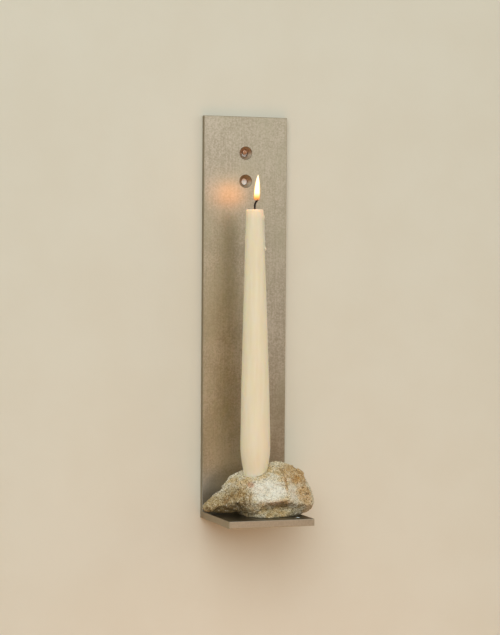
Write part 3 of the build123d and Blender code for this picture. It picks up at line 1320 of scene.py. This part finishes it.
@dataclass
class Room:
    """A plastered wall with a nail, a floor, soft light and the camera."""

    wall_size: float = 2.4
    floor_drop: float = 0.9               # below the sconce
    nail_diameter: float = 3.1 * MM
    nail_reach: float = 4.0 * MM
    azimuth: float = -18.73               # degrees; negative is from the left
    elevation: float = 1.13
    roll: float = 0.36
    distance: float = 1.4682
    lens: float = 110.55                  # for a 36 mm sensor
    aim_offset: Point = (5.8 * MM, 0.0, -0.4 * MM)
    inset: float = 0.1 * MM               # of the wall's opening behind the plate
    disc_sides: int = 32
    light_target: Point = (0.0, 0.0, -0.11)
    flame_power: float = 0.0072
    flame_colour: str = "#ff9650"
    sky: str = "#d8dbde"
    ground_plain: str = "#8c8274"
    ground_warm: str = "#86644a"          # in front, where the plate mirrors it
    mirrored_way: Point = (0.32, -0.95, 0.0)
    sky_strength: float = 0.78
    wall: PaintedPlaster = PaintedPlaster("cream_painted_plaster", "#e1deca", "#dfdbc6", one_sided=True)
    # painted light: the discs behind the screw holes are painted lighter than the wall
    lit_hole_plaster: PaintedPlaster = PaintedPlaster("painted_light_hole_plaster", "#fffdf4", "#fbf6ea", one_sided=True)
    floor: PaintedPlaster = PaintedPlaster("pale_painted_screed", "#c4b496", "#bdac8d")
    nail: RustedIron = RustedIron()

    def build(self) -> None:
        """Raise the wall, lay the floor and drive the nail."""
        half = self.wall_size / 2
        low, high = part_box("back_plate")
        ground, top = low.z - self.floor_drop, (low.z + high.z) / 2 + half
        wall = self.make_wall(half, ground, top)
        outline = ((-half, high.y), (half, high.y), (half, -self.wall_size), (-half, -self.wall_size))
        corners = [(x, y, ground) for x, y in outline]
        floor = mesh_object("floor", corners, faces=[(3, 2, 1, 0)])
        floor.data.materials.append(self.floor.material())
        self.make_nail()
        LOG.info("room: wall, floor and nail")

    def make_wall(self, half: float, ground: float, top: float) -> Object:
        """Raise the wall round the plate, with nothing behind it but discs of plaster at its screw holes, painted
        lighter as painted light.

        Args:
            half: Half the wall's width.
            ground: Height of its foot.
            top: Height of its upper edge.

        Returns:
            The wall.
        """
        low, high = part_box("back_plate")
        left, right = low.x + self.inset, high.x - self.inset
        foot, head = low.z + self.inset, high.z - self.inset
        outer = [(-half, ground), (half, ground), (half, top), (-half, top)]
        inner = [(left, foot), (right, foot), (right, head), (left, head)]
        corners = [(x, high.y, z) for x, z in outer + inner]
        faces: list[tuple[int, ...]] = [(i, (i + 1) % 4, (i + 1) % 4 + 4, i + 4) for i in range(4)]
        holes = mount_sizes("wall_screws")
        reach = (holes["hole_r_mm"] + 0.05) * MM
        for side in (-1, 1):
            start = len(corners)
            centre = side * holes["spacing_y_mm"] * MM / 2
            for turn in range(self.disc_sides):
                angle = turn * 2 * math.pi / self.disc_sides
                corners.append((reach * math.cos(angle), high.y, centre + reach * math.sin(angle)))
            faces.append(tuple(range(start, len(corners))))
        wall = mesh_object("wall", corners, faces=faces)
        wall.data.materials.append(self.wall.material())
        # painted light on the discs behind the screw holes
        wall.data.materials.append(self.lit_hole_plaster.material())
        for face in wall.data.polygons[4:]:
            face.material_index = 1
        return wall

    def make_nail(self) -> Object:
        """Drive the wall's nail through the upper hole, so that the hole's upper edge rests on it.

        Returns:
            The nail.
        """
        _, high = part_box("back_plate")
        holes = mount_sizes("wall_screws")
        centre = holes["spacing_y_mm"] * MM / 2 + holes["hole_r_mm"] * MM - self.nail_diameter / 2 - 0.1 * MM
        work = bmesh.new()
        bmesh.ops.create_cone(work, cap_ends=True, segments=32, radius1=self.nail_diameter / 2,
                              radius2=self.nail_diameter / 2, depth=self.nail_reach + 6 * MM)
        edges = [e for e in work.edges if all(v.co.z > 0 for v in e.verts)]
        bmesh.ops.bevel(work, geom=edges, offset=0.6 * MM, segments=4, affect="EDGES")
        turn = Matrix.Rotation(math.pi / 2, 4, "X")
        bmesh.ops.transform(work, matrix=turn, verts=work.verts)
        front = min(v.co.y for v in work.verts)
        bmesh.ops.translate(work, vec=(0, high.y - self.nail_reach - front, centre), verts=work.verts)
        for face in work.faces:
            face.smooth = True
        mesh = bpy.data.meshes.new("wall_nail")
        work.to_mesh(mesh)
        work.free()
        nail = link_object("wall_nail", mesh)
        nail.data.materials.append(self.nail.material())
        return nail

    def light(self, flame: Vector) -> None:
        """Light the room softly, with the flame's own light.

        Args:
            flame: Middle of the flame.
        """
        target = Vector(self.light_target)
        for lamp in (
            Softbox("window", Side.LEFT, (0.75, 1.95, 1.15), 2.1, 26.4, "#f6faff"),
            Softbox("fill", Side.RIGHT, (0.44, 1.5, 0.32), 0.8, 1.15, "#fafaf8"),
            Softbox("side fill", Side.RIGHT, (1.6, 1.0, 0.3), 0.8, 2.6, "#fff4e4"),
            Softbox("edge light", Side.LEFT, (1.9, 0.65, 0.1), 0.6, 0.9, "#fff8ee"),
            Softbox("room glow", Side.RIGHT, (0.24, 1.2, -0.28), 0.5, 0.26, "#ffdcb8"),
            Softbox("warm bounce", Side.LEFT, (0.0, 0.40, -0.50), 0.4, 0.50, "#ff8226", mirrored=False),
        ):
            lamp.place(target)
        data = bpy.data.lights.new("flame light", "POINT")
        data.energy = self.flame_power
        data.shadow_soft_size = 9 * MM
        data.color = srgb(self.flame_colour)[:3]
        link_object("flame light", data).location = flame
        self.world()
        LOG.info("room: lights")

    def world(self) -> None:
        """Surround the scene with a soft glow, darker and browner below the horizon."""
        world = bpy.data.worlds.new("soft room")
        bpy.context.scene.world = world
        world.use_nodes = True
        tree = world.node_tree
        tree.nodes.clear()
        ray = add_node(tree, "ShaderNodeTexCoord").outputs["Generated"]
        rise = add_node(tree, SPLIT, [ray]).outputs["Z"]
        rise = add_node(tree, RANGE, [rise, -0.20, 0.16], **SOFT)
        plain, warm = (add_node(tree, MIX, [rise, srgb(ground), srgb(self.sky)], **COLOUR)
                       for ground in (self.ground_plain, self.ground_warm))
        ahead = add_node(tree, VECTOR, [ray, self.mirrored_way], operation="DOT_PRODUCT")
        ahead = add_node(tree, RANGE, [ahead, 0.5, 0.9], **SOFT)
        camera = add_node(tree, "ShaderNodeLightPath").outputs["Is Camera Ray"]
        unseen = add_node(tree, MATH, [1.0, camera], operation="SUBTRACT")
        share = add_node(tree, MATH, [ahead, unseen], operation="MULTIPLY")
        colour = add_node(tree, MIX, [share, plain, warm], **COLOUR)
        glow = add_node(tree, "ShaderNodeBackground", {"Color": colour, "Strength": self.sky_strength})
        add_node(tree, "ShaderNodeOutputWorld", {"Surface": glow})

    def film(self) -> None:
        """Set up the camera, a little left of the sconce and just above its middle."""
        low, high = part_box("back_plate")
        aim = Vector((0, high.y, (low.z + high.z) / 2)) + Vector(self.aim_offset)
        a, e = math.radians(self.azimuth), math.radians(self.elevation)
        back = Vector((math.sin(a) * math.cos(e), -math.cos(a) * math.cos(e), math.sin(e)))
        data = bpy.data.cameras.new("camera")
        data.lens = self.lens
        data.sensor_width = 36.0
        camera = link_object("camera", data)
        camera.location = aim + back * self.distance
        across = Vector((math.cos(a), math.sin(a), 0))
        up = back.cross(across)
        r = math.radians(self.roll)
        right = across * math.cos(r) + up * math.sin(r)
        over = up * math.cos(r) - across * math.sin(r)
        camera.rotation_mode = "QUATERNION"
        camera.rotation_quaternion = Matrix((right, over, back)).transposed().to_quaternion()
        bpy.context.scene.camera = camera
        bpy.context.scene.view_settings.view_transform = "Standard"
        LOG.info("room: camera")


def main() -> None:
    """Build the sconce round its frame, one sub-assembly after another."""
    logging.basicConfig(level=logging.INFO, format="%(name)s %(message)s")
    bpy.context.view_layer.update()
    room = Room()
    room.film()
    bracket = Bracket(plate_painted_light=(
        # painted reflection at the left, painted shade low on the right, and painted reflection of the shelf low
        # on the left
        Stain((0.10, 0.0, 0.36), (42 * MM, 20 * MM, 150 * MM), "#fff5e8", 0.8),
        Stain((0.95, 0.0, 0.10), (36 * MM, 20 * MM, 110 * MM), "#e2dace", 0.7),
        Stain((0.08, 0.0, 0.06), (24 * MM, 20 * MM, 24 * MM), "#b4b6b0", 0.6, Cover.COAT),
    ), shelf_painted_light=(
        # painted light on the shelf's front face
        Stain((0.5, 0.0, 0.4), (90 * MM, 6 * MM, 14 * MM), "#dcc8ae", 0.45, Cover.COAT),
    ))
    bracket.dress()
    candle = Candle()
    wax = candle.wax.material(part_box("candle_wax")[1].z)
    bracket.make_wax_drop(wax)
    Stone(
        features=(
            Feature((0.62, 0.02, 0.17), (11 * MM, 8 * MM, 4.0 * MM), (0, 4.5 * MM, 0)),
            Feature((0.48, 0.00, 0.33), (18 * MM, 8 * MM, 2.6 * MM), (0, -1.8 * MM, 0.5 * MM)),
            Feature((0.30, 0.10, 0.30), (5 * MM, 8 * MM, 5 * MM), (0, 3.0 * MM, 0)),
            Feature((0.70, 0.05, 0.60), (3 * MM, 9 * MM, 12 * MM), (0, -1.2 * MM, 0)),
            Feature((0.80, 0.10, 0.60), (4 * MM, 9 * MM, 10 * MM), (0, 1.6 * MM, 0)),
        ),
        finish=BrokenSchist(stains=(
            Stain((0.48, 0.05, 0.52), (19 * MM, 15 * MM, 12 * MM), "#f4f3e2", 0.66, Cover.COAT),
            Stain((0.72, 0.05, 0.50), (4 * MM, 14 * MM, 14 * MM), "#ded4bd", 0.6, Cover.COAT),
            Stain((0.80, 0.35, 0.80), (20 * MM, 22 * MM, 11 * MM), "#dcb676", 0.9),
            Stain((0.88, 0.20, 0.42), (11 * MM, 16 * MM, 13 * MM), "#dfbb80", 0.9),
            Stain((0.66, 0.05, 0.62), (2.2 * MM, 12 * MM, 9 * MM), "#d9b270", 0.8),
            Stain((0.345, 0.28, 0.60), (3.6 * MM, 7 * MM, 3 * MM), "#e09a78", 0.6),
            # the next three darken the left side, the tail and the lower left: brown stone, and painted shade
            # where it faces down and left
            Stain((0.22, 0.35, 0.35), (16 * MM, 20 * MM, 13 * MM), "#bfa97c", 0.9),
            Stain((0.08, 0.75, 0.12), (24 * MM, 26 * MM, 15 * MM), "#bda778", 0.95),
            Stain((0.26, 0.20, 0.12), (12 * MM, 20 * MM, 10 * MM), "#b09a6c", 0.9),
            Stain((0.60, 0.05, 0.10), (26 * MM, 14 * MM, 6 * MM), "#e6dab4", 0.6),
        )),
    ).carve(candle.seat, candle.foot_diameter / 2 + 0.3 * MM)
    candle.make_body(wax)
    candle.make_run(wax)
    candle.make_wick()
    candle.make_flame()
    room.build()
    room.light(candle.flame_centre())


if __name__ == "__main__":
    main()
